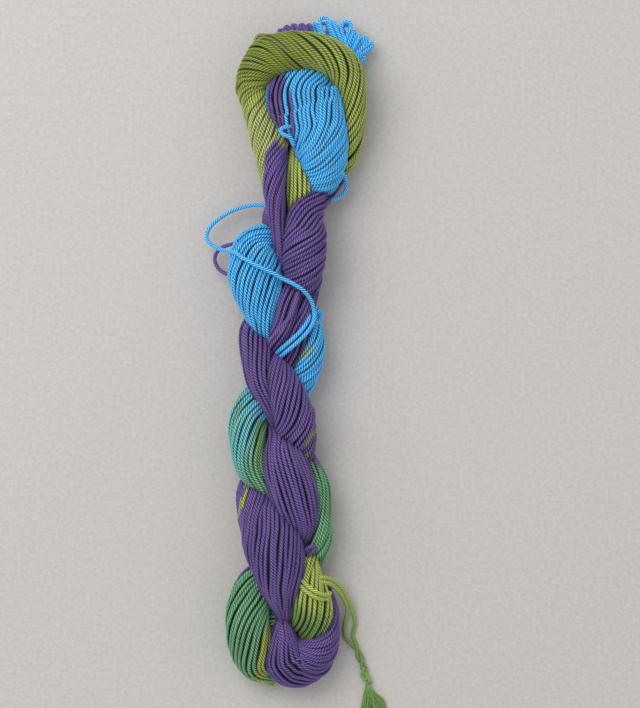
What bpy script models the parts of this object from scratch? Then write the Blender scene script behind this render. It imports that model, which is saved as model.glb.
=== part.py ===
"""A twisted hank of hand-dyed yarn, with its tie and its slack yarn.

The yarn was wound into a long ring, tied, stretched, twisted and folded in half. The two legs
then wind round each other, and the loop at one end passes through the loop at the other. So the
hank is a row of plump lobes that cross from upper left to lower right, with a U-shaped fold at
the bottom and, at the top, a collar with a tuft of loop ends behind it.

Lengths are in metres. The hank lies along Y with its collar towards +Y, +X is to the right as it
is seen from above, and Z is up. The lobes' tables are in millimetres: "across" is along X from the
hank's middle line, "along" is along Y, and "height" is above the surface that it lies on.
"""

import math
from typing import NamedTuple

import bmesh
import bpy
from mathutils import Matrix, Vector

MM = 0.001

# Driving dimensions
YARN_DIAMETER = 2.2 * MM
GAP = 0.35 * MM              # between neighbouring pieces
SHIFT_X = -8.1 * MM          # puts the origin under the middle of the hank
SHIFT_Y = -1.1 * MM
PRESSED = 0.6 * MM           # how far the lobes are pressed flat on the surface
LOBE_SIDES = 20              # corners of a lobe's section
SMALL_SIDES = 12             # corners of the knot's and the tassel's sections
RINGS_PER_ROW = 4            # sections of a lobe between two rows of its table
END_ANGLES = (35, 65)        # a lobe's end is a dome, with a section at each of these angles
END_ROUNDING = 0.8           # the dome's height as a share of the lobe's half height
VOXEL = 1.4 * MM             # fineness at which the lobes are merged into one body
KEPT_SHARE = 0.085           # share of the merged body's faces that is kept
CORD_STEP = 2.0              # distance between two points of a cord, in yarn diameters
CORD_RESOLUTION = 2          # gives a cord 8 sides


class Row(NamedTuple):
    """One section of a lobe: its middle and its half sizes, in millimetres."""

    across: float
    along: float
    height: float
    half_width: float
    half_height: float


class Crossing(NamedTuple):
    """Where a lobe crosses behind the others, in millimetres."""

    across: float
    along: float


# Each lobe is a bundle of strands. It is named for where it shows.
LOBES = {
    "collar": (
        Row(0, 32, 12, 5, 6),
        Row(-1.2, 52, 21, 4, 6.5),
        Row(-3.6, 72, 25.5, 5, 7.5),
        Row(-5, 89.5, 25, 6.9, 8.5),
        Row(-6.6, 105, 20.5, 9.4, 9),
        Row(-12.2, 121.5, 18.5, 7.8, 9),
        Row(-15, 135, 20.5, 8.4, 10),
        Row(-8, 147, 24, 10.6, 11),
        Row(5.5, 149.8, 26, 10.6, 10.5),
        Row(20.5, 148.6, 26, 9.6, 10),
        Row(31, 140.8, 24, 9.2, 9.5),
        Row(34.4, 127, 20.5, 7.8, 9),
        Row(33.6, 112, 17, 7.5, 8.5),
        Row(27, 97.5, 11.5, 9, 8.5),
        Row(13.5, 91, 9, 11, 9),
        Row(1, 97, 10, 11, 9),
        Row(-7.5, 109.5, 13, 9.5, 9),
    ),
    "tuft_root": (
        Row(33, 160, 9, 9, 5),
        Row(26, 154, 9, 14, 7),
        Row(17.5, 141, 12, 15, 9),
        Row(12, 128, 16, 14, 10),
    ),
    "front_blue": (
        Row(15, 145, 14, 12, 9),
        Row(9.8, 131, 23, 18.4, 11.5),
        Row(12.6, 121.5, 24, 18.6, 12),
        Row(17, 111.5, 24.6, 15.5, 12),
        Row(19.7, 97, 23, 12.5, 11),
        Row(17.5, 85, 17, 10, 10),
        Row(11, 73, 11, 9, 9),
        Row(3, 62, 9, 10, 9),
        Row(-5, 55, 11, 9, 8),
    ),
    "lime_patch": (
        Row(7, 102, 17, 4, 5),
        Row(8, 91, 21.5, 6, 6),
        Row(9, 80, 22, 7.5, 6.5),
        Row(9, 70, 18, 7, 6),
        Row(8.5, 60, 13, 6, 6),
    ),
    "upper_left": (
        Row(4, 58, 9, 8, 7.5),
        Row(-6, 58.5, 13, 8, 8.5),
        Row(-14, 52, 18.5, 11.3, 11),
        Row(-14, 41, 22.5, 13.6, 12),
        Row(-12.2, 30.5, 24.5, 12.4, 11.5),
        Row(-10.3, 20, 23.5, 9, 9.5),
        Row(-7.5, 9.5, 19.5, 5.8, 7),
        Row(-2, 0, 13, 6, 7),
    ),
    "upper_right": (
        Row(25.5, 87, 12, 5.5, 6.5),
        Row(18, 79, 17, 6.8, 8),
        Row(11.8, 69.5, 23, 9, 10.5),
        Row(11.2, 60, 25, 10.8, 11),
        Row(10.5, 50, 25, 11.3, 11.5),
        Row(9.8, 38, 22, 10, 10.5),
        Row(5.8, 26, 14, 9.6, 9.5),
        Row(-0.5, 17, 9, 12, 9.5),
        Row(-9.5, 12, 11, 11, 9),
    ),
    "right_crescent": (
        Row(8, 27, 12, 7, 7),
        Row(14, 12, 15.5, 6.3, 8),
        Row(13, -1, 16.5, 7.8, 9),
        Row(8, -14, 13.5, 8, 9),
        Row(0, -23, 9.2, 12, 9.5),
        Row(-9.5, -28, 11, 11, 9),
    ),
    "inner_left": (
        Row(7.5, 37, 19, 5, 6),
        Row(3, 25.5, 26, 6.5, 7),
        Row(0, 14.5, 26, 6, 7),
        Row(-5.5, 4.5, 20, 4, 6),
    ),
    "inner_right": (
        Row(12.5, 34.5, 17, 6, 7),
        Row(10, 23, 21.5, 6.5, 7.5),
        Row(6.5, 11, 21.5, 7.5, 7),
        Row(5.5, 0, 17, 8.5, 7),
        Row(3.5, -12, 12, 8, 7),
    ),
    "middle_left": (
        Row(-4, 21, 10, 8, 8),
        Row(-13.5, 13, 16, 8, 9),
        Row(-13, 1, 21, 8.3, 9.5),
        Row(-11, -12, 23, 7.8, 9),
        Row(-5.4, -24, 22.5, 6.3, 8),
        Row(0.3, -35, 20, 6, 7.5),
        Row(5, -45, 14, 6.5, 7),
    ),
    "middle_right": (
        Row(-10, 5, 13, 6, 6),
        Row(-6, -5.5, 19.5, 8, 8),
        Row(-0.5, -15.5, 24.5, 9.4, 9.6),
        Row(4.3, -27, 26.5, 10.2, 10.5),
        Row(7, -38.5, 23, 10.2, 10),
        Row(7.8, -49, 16, 8.2, 9),
        Row(1.5, -60, 9.2, 11.5, 9.5),
        Row(-8.5, -67, 11, 11, 9),
    ),
    "teal_crescent": (
        Row(3.5, -20.5, 9, 8, 8),
        Row(-9, -20.5, 12, 8.5, 8.5),
        Row(-16.5, -30.5, 17, 10, 10.5),
        Row(-17.5, -44, 20.5, 9.5, 11),
        Row(-15, -57, 21.5, 8, 9.5),
        Row(-7.8, -67, 19.5, 6.5, 8),
        Row(-1, -75.5, 14, 6, 7),
    ),
    "lower_middle": (
        Row(-4, -34.5, 14, 4, 5),
        Row(-1.4, -42, 20, 6.6, 7.5),
        Row(0, -50, 24.5, 9.8, 9.8),
        Row(2.2, -59, 26.5, 12, 11),
        Row(6.4, -73, 25.5, 11.8, 11),
        Row(9.8, -85, 20, 8.2, 9.5),
        Row(8, -95, 12, 5.6, 7),
        Row(4, -103, 10, 6, 7),
    ),
    "emerald_crescent": (
        Row(8.5, -49, 11, 6, 7),
        Row(16.5, -64, 15.5, 6.5, 8),
        Row(18.5, -77, 17, 6.5, 9),
        Row(18.5, -89, 16.5, 6.5, 9),
        Row(15, -101, 12.5, 6.5, 8),
        Row(4, -107, 9.2, 12, 9.5),
        Row(-8, -113, 11, 10.5, 9),
    ),
    "lower_front": (
        Row(-1.5, -57, 9, 8, 8),
        Row(-13.5, -65.5, 14.5, 8.5, 9),
        Row(-12.3, -77, 20, 11, 11),
        Row(-6.2, -90, 23.8, 14.8, 11.6),
        Row(-2.4, -104, 26, 14, 11),
        Row(-1, -118, 24, 9.5, 9),
        Row(0.5, -130, 18, 4.5, 6),
        Row(3.5, -141, 10, 6, 6),
    ),
    "fold_left": (
        Row(1, -110.5, 8.5, 8, 7.5),
        Row(-12.5, -113, 12.5, 8.5, 9),
        Row(-17, -124.5, 17.5, 11, 11.5),
        Row(-17, -139, 18.5, 11.5, 12),
        Row(-13, -152, 13.5, 11, 10.5),
        Row(-6.5, -156, 9, 9, 8),
        Row(3, -155, 8.5, 8, 7.5),
    ),
    "fold_sweep": (
        Row(0.4, -130.5, 16.5, 3, 4),
        Row(0, -137, 18.5, 5.2, 7.5),
        Row(0, -143.8, 18.5, 8.2, 10.5),
        Row(1, -151, 16.4, 12, 13),
        Row(6.2, -154.2, 14, 12.6, 13.2),
        Row(12.8, -152.4, 12.8, 12, 12.4),
        Row(18.3, -147.6, 12, 9.6, 11.2),
        Row(22, -142, 11.5, 7, 10),
        Row(24.2, -136.6, 11, 4.7, 9),
        Row(25.5, -131, 10.5, 3, 8.2),
        Row(25.1, -125, 9.5, 2, 6),
        Row(23.6, -119.5, 8.5, 1.6, 5),
    ),
    "tied_patch": (
        Row(14.5, -97, 12, 5, 6),
        Row(12.5, -107, 17.5, 6.5, 7.5),
        Row(12.6, -119.5, 20, 10.6, 9),
        Row(14.2, -130, 18, 11.2, 9),
        Row(14, -139.5, 10, 8, 7.5),
    ),
    "core": (
        Row(3, 125, 14, 8, 6),
        Row(6, 95, 17, 8, 7),
        Row(1, 60, 17, 8, 7),
        Row(0, 20, 17, 8, 7),
        Row(0, -20, 17, 8, 7),
        Row(0, -60, 17, 8, 7),
        Row(0, -100, 17, 8, 7),
        Row(2, -140, 14, 8, 7),
    ),
}


# Where the bundles that show only from below cross the middle line, and one such bundle's shape.
BACK_CROSSINGS = (
    Crossing(6, 78), Crossing(0, 38), Crossing(0, -3), Crossing(0, -43), Crossing(0, -85), Crossing(0, -131),
)
BACK_LOBE = (
    Row(11, 12, 15, 6, 7.5),
    Row(6, 5, 10.6, 9, 9),
    Row(-2, -2, 9.5, 10, 9.2),
    Row(-9, -9, 12, 8, 9),
    Row(-11, -15, 16, 5, 7),
)

# Loops at the tuft's edge, each from its root to its tip.
TUFT_LOOPS = (
    (Row(8, 157, 10, 3.5, 3), Row(6, 162.5, 9, 2.5, 2)),
    (Row(18, 160, 10, 4, 3), Row(19, 167, 9, 2.5, 2)),
    (Row(28, 158, 10, 5, 3), Row(31, 165.5, 9, 3, 2)),
    (Row(34, 154, 9, 4, 3), Row(42, 159, 8, 2, 2)),
    (Row(36, 147, 9, 4, 3), Row(44, 154.5, 8, 2, 2)),
)


class Place(NamedTuple):
    """A point of a cord's route, in millimetres."""

    across: float
    along: float
    height: float


# The slack yarn, the tie and its tails: routes of the middle of the yarn.
SLACK_LOOPS = {
    "slack_loop_blue": (
        Place(-7, 74.3, 12), Place(-17, 74.3, 8.5), Place(-27, 71, 7.5), Place(-35.5, 64.8, 8.5),
        Place(-38.3, 59, 10.5), Place(-36, 54.8, 14), Place(-30.5, 51.8, 20), Place(-24.5, 50.4, 28),
        Place(-19.5, 47.3, 33), Place(-13, 43.7, 35.6), Place(-5.7, 40.3, 35.2), Place(0.5, 37, 34.2),
        Place(6, 34.2, 34), Place(10.5, 31.2, 32.5), Place(14, 26.5, 29), Place(15.6, 20.5, 26.6),
        Place(14.8, 15.2, 27), Place(11, 9.5, 29), Place(5.8, 4.5, 29), Place(1.2, 0.6, 26.6),
        Place(-1.6, -1.8, 22),
    ),
    "slack_loop_inner": (
        Place(13.4, 23, 22), Place(13.2, 19.6, 25.4), Place(12.4, 16.4, 27.6), Place(8.9, 11.4, 29.8),
        Place(4.0, 6.6, 29.6), Place(-0.4, 2.8, 27), Place(-3, 0.4, 22.5),
    ),
    "slack_loop_purple": (
        Place(-22, 55.2, 12), Place(-27, 54.6, 11), Place(-31, 53, 9.5), Place(-33.6, 50.2, 8),
        Place(-34.2, 46.8, 7.5), Place(-32.6, 43, 8), Place(-29.4, 40.6, 10), Place(-24.5, 38.6, 13),
    ),
    "slack_loop_right": (
        Place(26, 92.5, 24), Place(29.6, 90, 19.5), Place(31.6, 86.4, 15.5), Place(31.2, 82, 13),
        Place(28.8, 78.8, 12.5), Place(25.4, 77.4, 14), Place(21, 79, 19), Place(17.5, 81, 24),
    ),
}
TIE_ROUTE = (
    Place(6, -113.2, 22), Place(9, -115, 26.6), Place(12, -117.4, 29.8), Place(16, -120, 30),
    Place(20, -121.4, 26.8), Place(22.6, -120.8, 22.4),
)
TAILS = {
    "tail_left": (
        Place(18.5, -113.6, 22), Place(21, -114.2, 20.2), Place(23.8, -116, 16.6),
        Place(26.8, -119.2, 12), Place(29.4, -123.4, 8), Place(31.1, -127.8, 5.2),
        Place(31.6, -131.5, 3.4), Place(31, -136, 2), Place(30.8, -140.4, 1.5),
        Place(31.9, -143.6, 1.5), Place(34.2, -146.1, 1.5), Place(36, -149, 1.5),
        Place(37.1, -152.4, 1.5), Place(38.1, -155.6, 1.5), Place(39.3, -158.8, 1.6),
    ),
    "tail_right": (
        Place(18.6, -111, 21.2), Place(21.8, -111.2, 18.4), Place(25.2, -113, 14.4),
        Place(28.8, -116.6, 10.6), Place(31.6, -121.3, 7.6), Place(34, -127, 5.2),
        Place(35.6, -132.4, 3.4), Place(35.9, -136.4, 2.2), Place(35.1, -140.2, 1.6),
        Place(35.5, -143, 1.6), Place(37.6, -145.8, 1.6), Place(38.9, -149, 1.5),
        Place(39.8, -152.2, 1.5), Place(40.8, -155.2, 1.5), Place(42, -158, 1.6),
    ),
}
KNOT = (
    Row(40.9, -161.1, 2.2, 1.4, 1.2), Row(41.3, -162.3, 2.6, 2.8, 2.3), Row(41.8, -163.5, 2.6, 2.8, 2.3),
    Row(42.2, -164.7, 2.2, 1.5, 1.5),
)
TASSEL = (
    Row(42.8, -167.8, 2.2, 1.5, 1.5), Row(43.4, -170.4, 2.3, 2.6, 1.9), Row(44.4, -175, 2.4, 4.2, 2),
    Row(45.6, -179, 2.1, 5.4, 1.7), Row(46.8, -183, 1.6, 6, 1.2),
)


def through(points, t):
    """Reads a Catmull-Rom curve through four points, between the second and the third."""
    return [
        b + 0.5 * t * (c - a + t * (2 * a - 5 * b + 4 * c - d + t * (3 * (b - c) + d - a)))
        for a, b, c, d in zip(*points)
    ]


def smooth_rows(rows, per_row):
    """Reads per_row places between each two rows from a smooth curve through all of them."""
    last = len(rows) - 1
    places = [
        through([rows[max(i - 1, 0)], rows[i], rows[i + 1], rows[min(i + 2, last)]], k / per_row)
        for i in range(last)
        for k in range(per_row)
    ]
    return places + [list(rows[-1])]


def in_metres(across, along, height):
    """Turns a table's place into a point of the model."""
    return Vector((across * MM + SHIFT_X, along * MM + SHIFT_Y, height * MM))


def section_rings(rows):
    """Lists a lobe's sections as (middle, run, half width, half height), with round ends."""
    sections = smooth_rows(rows, RINGS_PER_ROW)
    middles = [in_metres(*section[:3]) for section in sections]
    last = len(sections) - 1
    rings = []
    for i, (middle, section) in enumerate(zip(middles, sections)):
        run = (middles[min(i + 1, last)] - middles[max(i - 1, 0)]).normalized()
        half_width, half_height = section[3] * MM, section[4] * MM
        outward = -1 if i == 0 else 1 if i == last else 0
        rings.append((middle, run, half_width, half_height))
        for turn in (math.radians(a) for a in END_ANGLES if outward):
            rings.append((
                middle + run * (outward * END_ROUNDING * half_height * math.sin(turn)),
                run, half_width * math.cos(turn), half_height * math.cos(turn),
            ))
    start = len(END_ANGLES) + 1
    return rings[start - 1::-1] + rings[start:]


def add_lobe(mesh, rows, sides):
    """Adds one closed lobe, an ellipse for each of its sections, square to the lobe's run."""
    rings = []
    for middle, run, half_width, half_height in section_rings(rows):
        side = run.cross(Vector((0, 0, 1))).normalized()
        up = side.cross(run)
        turns = [2 * math.pi * k / sides for k in range(sides)]
        rings.append([
            mesh.verts.new(middle + side * (half_width * math.cos(turn)) + up * (half_height * math.sin(turn)))
            for turn in turns
        ])
    for ring, other in zip(rings, rings[1:]):
        for k in range(sides):
            mesh.faces.new((ring[k], ring[(k + 1) % sides], other[(k + 1) % sides], other[k]))
    mesh.faces.new(reversed(rings[0]))
    mesh.faces.new(rings[-1])


def new_object(name, data, finish):
    """Puts a mesh or a curve in the scene with its material."""
    piece = bpy.data.objects.new(name, data)
    bpy.context.scene.collection.objects.link(piece)
    if finish:
        data.materials.append(finish)
    return piece


def new_finish(name, colour, roughness=0.85):
    """Makes a plain yarn material."""
    finish = bpy.data.materials.new(name)
    finish.use_nodes = True
    shader = finish.node_tree.nodes["Principled BSDF"]
    shader.inputs["Base Color"].default_value = (*colour, 1)
    shader.inputs["Roughness"].default_value = roughness
    shader.inputs["Metallic"].default_value = 0
    return finish


def lobes_object(name, tables, finish, sides=LOBE_SIDES):
    """Makes one object of several lobes, each a closed body of its own."""
    mesh = bmesh.new()
    for rows in tables:
        add_lobe(mesh, rows, sides)
    bmesh.ops.recalc_face_normals(mesh, faces=mesh.faces)
    data = bpy.data.meshes.new(name)
    mesh.to_mesh(data)
    mesh.free()
    return new_object(name, data, finish)


def cord_places(route):
    """Reads a cord's points, a few diameters apart, from the smooth curve through its route."""
    fine = [in_metres(*place) for place in smooth_rows(route, 12)]
    places = [fine[0]]
    for place in fine[1:]:
        if (place - places[-1]).length >= CORD_STEP * YARN_DIAMETER:
            places.append(place)
    if (fine[-1] - places[-1]).length < YARN_DIAMETER:
        places.pop()
    return places + [fine[-1]]


def cord_curve(name, places, radius):
    """Makes a round tube with filled ends along some points."""
    data = bpy.data.curves.new(name, "CURVE")
    data.dimensions = "3D"
    data.bevel_depth = radius
    data.bevel_resolution = CORD_RESOLUTION
    data.use_fill_caps = True
    spline = data.splines.new("POLY")
    spline.points.add(len(places) - 1)
    for point, place in zip(spline.points, places):
        point.co = (*place, 1)
    return data


def cord(name, route, finish):
    """Makes a length of yarn."""
    return new_object(name, cord_curve(name, cord_places(route), YARN_DIAMETER / 2), finish)


def groove(name, route):
    """Makes the cutter for the groove that a length of yarn lies in, a gap wider all round."""
    places = cord_places(route)
    places[0] = places[0] + (places[0] - places[1]).normalized() * GAP
    places[-1] = places[-1] + (places[-1] - places[-2]).normalized() * GAP
    tube = new_object(name + "_tube", cord_curve(name, places, YARN_DIAMETER / 2 + GAP), None)
    data = bpy.data.meshes.new_from_object(tube)
    bpy.data.objects.remove(tube)
    return new_object(name + "_groove", data, None)


def hide(piece):
    """Keeps a cutter out of the part."""
    piece.hide_render = True
    piece.display_type = "WIRE"


def cut(piece, cutter):
    """Takes a cutter's shape out of a piece."""
    hide(cutter)
    modifier = piece.modifiers.new("cut_" + cutter.name, "BOOLEAN")
    modifier.operation = "DIFFERENCE"
    modifier.object = cutter


def back_lobes():
    """Lists the lobes that cross behind the others, all alike."""
    return [
        [row._replace(across=row.across + crossing.across, along=row.along + crossing.along) for row in BACK_LOBE]
        for crossing in BACK_CROSSINGS
    ]


def surface_cutter():
    """Makes the block below the surface, which gives the lobes flat spots to rest on."""
    mesh = bmesh.new()
    bmesh.ops.create_cube(mesh, size=1)
    data = bpy.data.meshes.new("surface")
    mesh.to_mesh(data)
    mesh.free()
    block = bpy.data.objects.new("surface", data)
    bpy.context.scene.collection.objects.link(block)
    data.transform(Matrix.Translation((0, 0, -0.5)))
    block.scale = (0.3, 0.6, 0.05)
    return block


def merged(piece):
    """Merges the lobes into one body and thins its faces."""
    remesh = piece.modifiers.new("merge", "REMESH")
    remesh.mode = "VOXEL"
    remesh.voxel_size = VOXEL
    thin = piece.modifiers.new("thin", "DECIMATE")
    thin.ratio = KEPT_SHARE


def clear():
    """Removes the scene's objects."""
    for piece in list(bpy.data.objects):
        bpy.data.objects.remove(piece)


def main():
    """Builds the hank, its slack loops and its tie."""
    clear()
    purple = new_finish("purple", (0.11, 0.05, 0.22))
    blue = new_finish("blue", (0.07, 0.37, 0.66))
    lime = new_finish("lime", (0.36, 0.48, 0.11))
    green = new_finish("green", (0.13, 0.32, 0.10))
    slack_colours = {
        "slack_loop_blue": blue, "slack_loop_inner": blue, "slack_loop_purple": purple,
        "slack_loop_right": blue,
    }

    hank = lobes_object("hank", [*LOBES.values(), *back_lobes(), *TUFT_LOOPS], purple)
    hank.location.z = -PRESSED
    merged(hank)
    cut(hank, surface_cutter())
    for name, route in SLACK_LOOPS.items():
        cord(name, route, slack_colours[name])
        cut(hank, groove(name, route))
    cord("tie", TIE_ROUTE, lime)
    cut(hank, groove("tie", TIE_ROUTE))
    for name, route in TAILS.items():
        cord(name, route, green)
        cut(hank, groove(name, route))
    lobes_object("tail_knot", [KNOT], green, SMALL_SIDES)
    lobes_object("tail_tassel", [TASSEL], green, SMALL_SIDES)


main()
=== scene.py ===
"""A twisted hank of hand-dyed yarn, lying on a pale cloth.

The yarn was wound into a long ring, tied, stretched, twisted and folded in half, and its two legs
wind round each other. So the hank is a row of plump bundles of strands. Each bundle is an oval
tube along a smooth line, and its strands are helices that lie side by side on it. A strand is a
round thread of four plies.

Tables are in millimetres: "across" is along X, "along" is along Y and "height" is above the
surface. Everything that is put in the scene is in metres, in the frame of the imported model.
"""

from __future__ import annotations

import functools
import logging
import math
from dataclasses import dataclass, field, replace
from enum import Enum
from typing import NamedTuple

import bpy
import numpy as np
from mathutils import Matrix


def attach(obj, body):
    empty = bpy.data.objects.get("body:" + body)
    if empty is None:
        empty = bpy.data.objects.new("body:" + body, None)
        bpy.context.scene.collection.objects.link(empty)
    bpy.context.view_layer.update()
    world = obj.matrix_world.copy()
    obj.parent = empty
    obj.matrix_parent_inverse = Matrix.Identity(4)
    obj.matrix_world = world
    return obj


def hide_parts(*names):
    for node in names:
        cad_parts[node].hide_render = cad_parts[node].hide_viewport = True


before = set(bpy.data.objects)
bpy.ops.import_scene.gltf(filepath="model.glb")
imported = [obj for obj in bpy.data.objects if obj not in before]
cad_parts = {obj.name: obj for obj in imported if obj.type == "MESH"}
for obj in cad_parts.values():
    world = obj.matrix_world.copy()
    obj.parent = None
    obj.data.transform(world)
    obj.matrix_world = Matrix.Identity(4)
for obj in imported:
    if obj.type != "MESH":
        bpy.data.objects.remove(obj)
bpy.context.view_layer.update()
LOG = logging.getLogger("hank")

MM = 0.001
SHIFT = np.array((-8.1, -1.1, 0.0))     # from a table's place to the model's frame, in millimetres
PRESSED = 0.6                           # how far the bundles are pressed on the surface
SEED = 41
UP = np.array((0.0, 0.0, 1.0))
LOWEST = 0.03 * MM                      # how far every strand's corners stay above the surface

# How strands lie in a bundle. Their places are measured in strands and their depths in diameters.
FULL_AT = 96                            # the percentile of a bundle's sections that they fill
PRESSING = 0.95                         # how close they press before some of them sink
SINK_OVER = 0.22                        # over how much rank they sink
SUNK_DEPTH = 0.62                       # how deep a sunk strand lies
UNEVEN = 0.28                           # how far a strand lies off its even place
WANDER = 0.12                           # how far it wanders from side to side
RISE = 0.17                             # how far it rises and falls

# How the dyes vary from strand to strand.
OWN_ROWS = 0.35                         # how much of a row the changes come sooner or later by
PATCH_EDGE = 0.24                       # how soft a patch's edge is, as a share of its size
STRAND_TONE = 0.16                      # how much strands differ in tone
WAVE_TONE = 0.045                       # how much a strand's tone waves along it


class Dye(Enum):
    """The dye baths of the yarn, each a linear colour."""

    PURPLE = (0.147, 0.092, 0.305)
    INDIGO = (0.125, 0.110, 0.360)
    BLUE = (0.088, 0.476, 0.918)
    TEAL = (0.142, 0.460, 0.496)
    EMERALD = (0.150, 0.366, 0.195)
    FERN = (0.190, 0.370, 0.150)
    PALE_GREEN = (0.290, 0.480, 0.270)
    GREEN = (0.168, 0.306, 0.089)
    OLIVE = (0.209, 0.265, 0.047)
    LIME = (0.331, 0.400, 0.094)
    FRESH_LIME = (0.437, 0.528, 0.124)
    PALE_LIME = (0.400, 0.450, 0.170)

    @property
    def colour(self) -> np.ndarray:
        """The dye's linear colour as an array."""
        return np.array(self.value)


# A place is its across, along and height. A row is one section of a bundle: the place of its
# middle, its half width, its half height and its strands' lean from the run, in degrees.
Place = tuple[float, float, float]
Row = tuple[float, float, float, float, float, float]

# The record's material slot for yarn of each dye.
SLOTS = {
    Dye.PURPLE: "purple_yarn", Dye.BLUE: "blue_yarn", Dye.EMERALD: "green_yarn",
    Dye.GREEN: "green_yarn", Dye.OLIVE: "lime_yarn", Dye.LIME: "lime_yarn",
    Dye.FRESH_LIME: "lime_yarn",
}


@dataclass(frozen=True)
class DyeChange:
    """From this row of a bundle's table on, the strands have this dye.

    Attributes:
        row: Where the change is, in rows from the start of the table.
        dye: The dye after it.
        slant: How many rows later it comes at the bundle's right side than in its middle.
        spread: How many rows the change takes.
        bend: How many rows sooner it comes at both sides than in the middle.
    """

    row: float
    dye: Dye
    slant: float = 0.0
    spread: float = 0.35
    bend: float = 0.0


@dataclass(frozen=True)
class DyePatch:
    """An oval area, as seen from above, where some of a bundle's strands have another dye.

    Attributes:
        across: The area's middle along X, in millimetres.
        along: The area's middle along Y, in millimetres.
        half_across: Its half size before it is turned, in millimetres.
        half_along: Its other half size, in millimetres.
        turn: How far it is turned anticlockwise, in degrees.
        dye: The dye in it.
        share: The share of the strands that take the dye.
    """

    across: float
    along: float
    half_across: float
    half_along: float
    turn: float
    dye: Dye
    share: float = 1.0


def smoothstep(value: np.ndarray) -> np.ndarray:
    """Rises smoothly from 0 to 1: three times the square less twice the cube of the value.

    Args:
        value: Any numbers; below 0 they give 0, above 1 they give 1.

    Returns:
        The smooth steps.
    """
    value = np.clip(value, 0.0, 1.0)
    return value * value * (3.0 - 2.0 * value)


def unit(vectors: np.ndarray) -> np.ndarray:
    """Scales vectors to length one.

    Args:
        vectors: An array whose last axis holds the vectors.

    Returns:
        The vectors divided by their lengths.
    """
    return vectors / np.maximum(np.linalg.norm(vectors, axis=-1, keepdims=True), 1e-12)


def through(table: np.ndarray, where: np.ndarray) -> np.ndarray:
    """Reads a Catmull-Rom curve: a cubic between two rows, shaped by the row before and after.

    Args:
        table: The rows that the curve passes through.
        where: The places to read, counted in rows from the first.

    Returns:
        One row of values for each place.
    """
    last = len(table) - 1
    start = np.clip(np.floor(where).astype(int), 0, last - 1)
    part = (where - start)[:, None]
    a, b = table[np.maximum(start - 1, 0)], table[start]
    c, d = table[start + 1], table[np.minimum(start + 2, last)]
    cubic = 2 * a - 5 * b + 4 * c - d + part * (3 * (b - c) + d - a)
    return b + 0.5 * part * (c - a + part * cubic)


def even_steps(table: np.ndarray, step: float, stretch: np.ndarray | None = None) -> np.ndarray:
    """Finds places along a smooth curve that are a step apart.

    The curve is read finely, its length is summed, and the places are where the sum passes each
    multiple of the step.

    Args:
        table: The rows of the curve, of which the first three columns are its points.
        step: The distance between two places, in the table's unit.
        stretch: For each fine place, how much longer a strand is than the curve.

    Returns:
        The places, counted in rows.
    """
    fine = fine_places(table)
    points = through(table, fine)[:, :3]
    lengths = np.linalg.norm(np.diff(points, axis=0), axis=1)
    if stretch is not None:
        lengths = lengths * stretch[1:]
    total = np.concatenate(([0.0], np.cumsum(lengths)))
    count = max(int(round(total[-1] / step)), 3)
    return np.interp(np.linspace(0.0, total[-1], count + 1), total, fine)


def fine_places(table: np.ndarray) -> np.ndarray:
    """Lists 40 places for each row of a table."""
    return np.linspace(0.0, len(table) - 1, 40 * (len(table) - 1) + 1)


def spread_order(count: int) -> np.ndarray:
    """Ranks strands so that those under any rank are spread evenly.

    The rank of a strand is its number's bits read backwards, as a share of one.

    Args:
        count: The number of strands.

    Returns:
        The ranks, from 0 to 1.
    """
    numbers, ranks = np.arange(count), np.zeros(count)
    for bit in range(7):
        ranks += ((numbers >> bit) & 1) / 2.0 ** (bit + 1)
    return ranks


@dataclass
class Threads:
    """Some strands side by side, each with the same number of rings.

    Attributes:
        paths: The rings' middles, strands by rings by 3, in metres.
        outward: A direction for each ring that points out of the bundle.
        colours: The dye of each ring, strands by rings by 3.
        keep: Which rings are made.
        radius: The strand's radius at each ring, in metres.
        packed: Whether the strands lie in a bundle.
    """

    paths: np.ndarray
    outward: np.ndarray
    colours: np.ndarray
    keep: np.ndarray
    radius: np.ndarray
    packed: bool = False


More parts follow.
